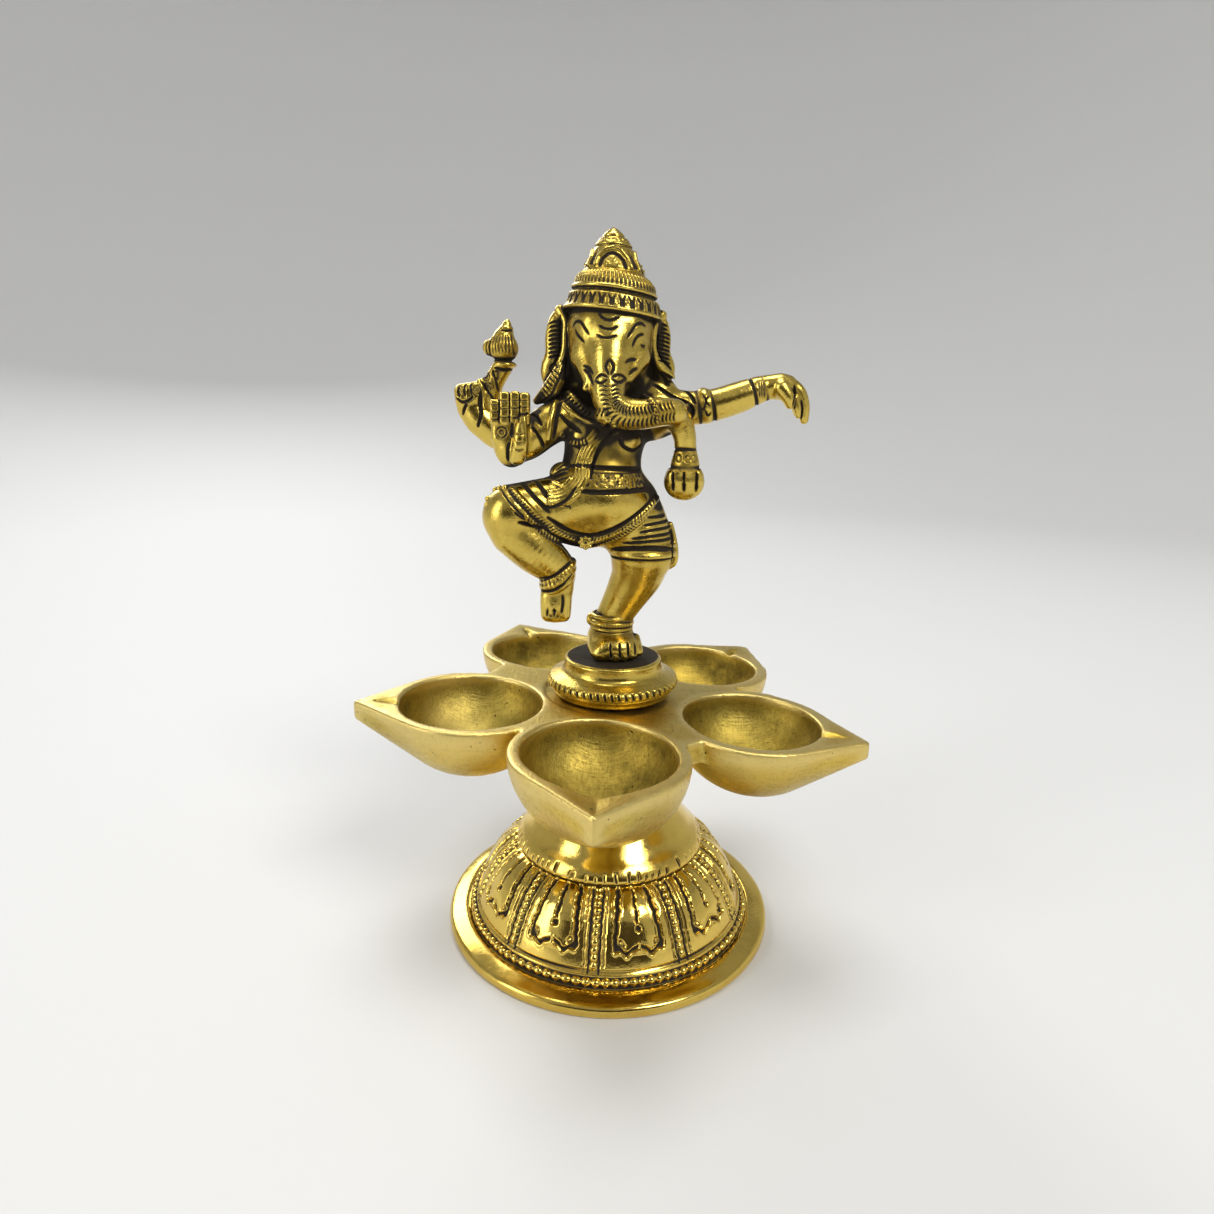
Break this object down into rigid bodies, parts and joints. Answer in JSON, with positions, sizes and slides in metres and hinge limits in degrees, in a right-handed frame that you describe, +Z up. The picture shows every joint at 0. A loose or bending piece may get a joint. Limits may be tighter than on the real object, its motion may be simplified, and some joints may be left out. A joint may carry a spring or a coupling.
{
  "type": "diya oil lamp",
  "caption": "Brass oil lamp: a bell foot and turned neck carry a star-shaped tray of teardrop oil cups around a beaded pedestal with a dancing elephant-headed figure.",
  "frame": {"origin": "middle of the lamp's box, on the surface that it stands on; the stud axis is 0.7 mm towards +X and 3.6 mm towards +Y of it, because the five-pointed tray isn't symmetric front to back", "axes": "+Z up along the stud axis, the figure faces -Y, and its left hand side is +X"},
  "size_m": [0.1062, 0.1048, 0.1513],
  "materials": {
    "polished_brass": "polished cast brass with black patina left in the engraved lines",
    "satin_brass": "satin, filed and brushed cast brass",
    "antique_brass": "antiqued cast brass, bright on the high points and near black in the recesses",
    "plated_steel": "zinc-plated steel"
  },
  "bodies": {
    "foot": {"base_bell": "polished_brass", "neck_stem": "polished_brass"},
    "tray": {"diya_tray": "satin_brass"},
    "figure": {"pedestal": "antique_brass", "tie_stud": "plated_steel", "clamp_washer": "plated_steel", "hex_nut": "plated_steel", "figure_torso": "antique_brass", "figure_standing_leg": "antique_brass", "figure_raised_leg": "antique_brass", "figure_head_and_trunk": "antique_brass", "figure_crown": "antique_brass", "figure_right_ear": "antique_brass", "figure_left_ear": "antique_brass", "figure_rear_right_arm": "antique_brass", "figure_rear_left_arm": "antique_brass", "figure_front_right_arm": "antique_brass", "figure_front_left_arm": "antique_brass", "figure_held_bud": "antique_brass"}
  },
  "joints": [
    {"name": "tray_turn", "type": "hinge", "parent": "foot", "child": "tray", "pos_m": [0.00071, 0.00358, 0.0467], "axis": [0, 0, 1], "continuous": true},
    {"name": "figure_turn", "type": "hinge", "parent": "tray", "child": "figure", "pos_m": [0.00071, 0.00358, 0.0547], "axis": [0, 0, 1], "continuous": true}
  ]
}
